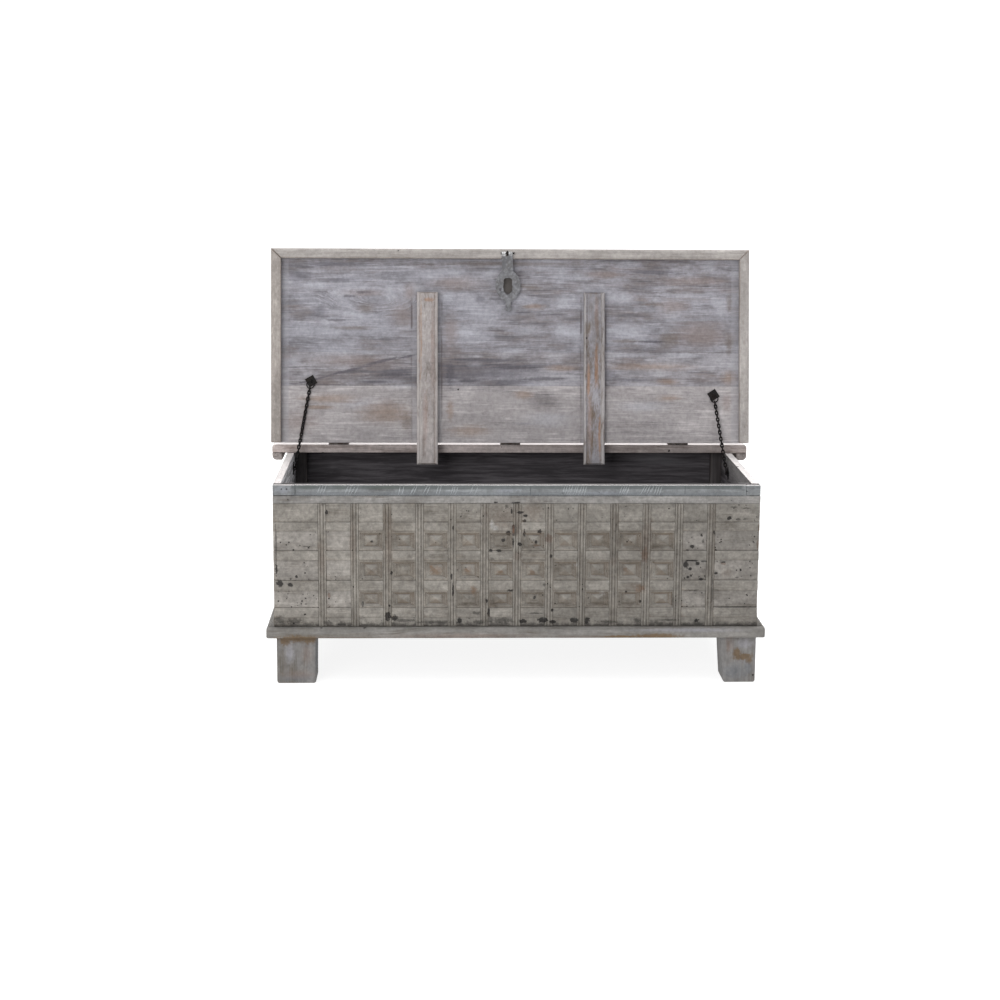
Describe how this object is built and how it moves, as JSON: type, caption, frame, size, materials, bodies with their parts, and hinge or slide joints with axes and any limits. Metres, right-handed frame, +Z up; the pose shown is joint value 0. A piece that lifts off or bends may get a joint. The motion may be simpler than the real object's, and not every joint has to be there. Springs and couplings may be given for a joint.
{
  "type": "storage chest",
  "caption": "Limewashed carved wooden chest on block feet, its lid hinged to a fixed rear rail, held open by chains and fastened with an iron hasp.",
  "frame": {"origin": "on the floor, under the middle of the overall width and depth with the lid open", "axes": "+X to the right as seen from the carved front, +Y to the rear, +Z up"},
  "size_m": [1.2, 0.617, 0.9807],
  "materials": {
    "black_iron": "black oxide",
    "dark_old_wood": "dark unfinished old wood",
    "limewashed_base": "matt limewash with brown stains",
    "limewashed_battens": "matt limewash, pinkish where worn",
    "limewashed_boards": "matt limewash over old planks",
    "limewashed_carving": "matt limewash worn to grey-brown wood",
    "limewashed_lid": "matt lilac-grey limewash with brown streaks",
    "rusty_iron": "rusty iron with paint left on it",
    "worn_iron": "hammered iron with limewash left on it"
  },
  "bodies": {
    "box": {"base_moulding_front": "limewashed_base", "base_moulding_left": "limewashed_base", "base_moulding_rear": "limewashed_base", "base_moulding_right": "limewashed_base", "bottom_blocks": "limewashed_carving", "chain_left": "black_iron", "chain_right": "black_iron", "corner_posts": "dark_old_wood", "crossbars": "limewashed_carving", "dividing_strips": "limewashed_carving", "floor_board_front": "dark_old_wood", "floor_board_middle": "dark_old_wood", "floor_board_rear": "dark_old_wood", "floor_ledgers": "dark_old_wood", "foot_front_left": "limewashed_base", "foot_front_right": "limewashed_base", "foot_rear_left": "limewashed_base", "foot_rear_right": "limewashed_base", "frieze_blocks": "limewashed_carving", "front_bead": "limewashed_carving", "front_board_lower": "limewashed_boards", "front_board_upper": "limewashed_boards", "front_top_rail": "limewashed_carving", "front_top_rail_ends": "limewashed_carving", "hasp_staple": "worn_iron", "hinge_leaves_rail": "rusty_iron", "hinge_pins": "rusty_iron", "hinge_screws_rail": "rusty_iron", "left_side_lower": "limewashed_boards", "left_side_upper": "limewashed_boards", "nailhead_tiles": "limewashed_carving", "plain_field_blocks": "limewashed_carving", "rail_lip_left": "limewashed_lid", "rail_lip_rear": "limewashed_lid", "rail_lip_right": "limewashed_lid", "rear_plank_lower": "dark_old_wood", "rear_plank_upper": "dark_old_wood", "rear_rail": "limewashed_lid", "right_side_lower": "limewashed_boards", "right_side_upper": "limewashed_boards", "wall_chain_plates": "black_iron", "wall_chain_rings": "black_iron"},
    "lid": {"lid_plank_rear": "limewashed_lid", "lid_plank_second": "limewashed_lid", "lid_plank_third": "limewashed_lid", "lid_plank_front": "limewashed_lid", "lid_lip_front": "limewashed_lid", "lid_lip_left": "limewashed_lid", "lid_lip_right": "limewashed_lid", "lid_batten_left": "limewashed_battens", "lid_batten_right": "limewashed_battens", "batten_nails": "rusty_iron", "hinge_leaves_lid": "rusty_iron", "hinge_screws_lid": "rusty_iron", "hasp_eye": "worn_iron", "lid_chain_plates": "black_iron", "lid_chain_rings": "black_iron"},
    "hasp": {"hasp_pin": "worn_iron", "hasp_leaf": "worn_iron"}
  },
  "joints": [
    {"name": "lid_hinge", "type": "hinge", "parent": "box", "child": "lid", "pos_m": [0, 0.1685, 0.4955], "axis": [1, 0, 0], "range_deg": [0, 100], "deforming": ["chain_left", "chain_right"]},
    {"name": "hasp_hang", "type": "hinge", "parent": "lid", "child": "hasp", "pos_m": [-0.009, 0.20137, 0.97102], "axis": [1, 0, 0], "range_deg": [-103, 0]}
  ],
  "couplings": [
    {"joint": "hasp_hang", "follows": "lid_hinge", "ratio": -1.03}
  ]
}
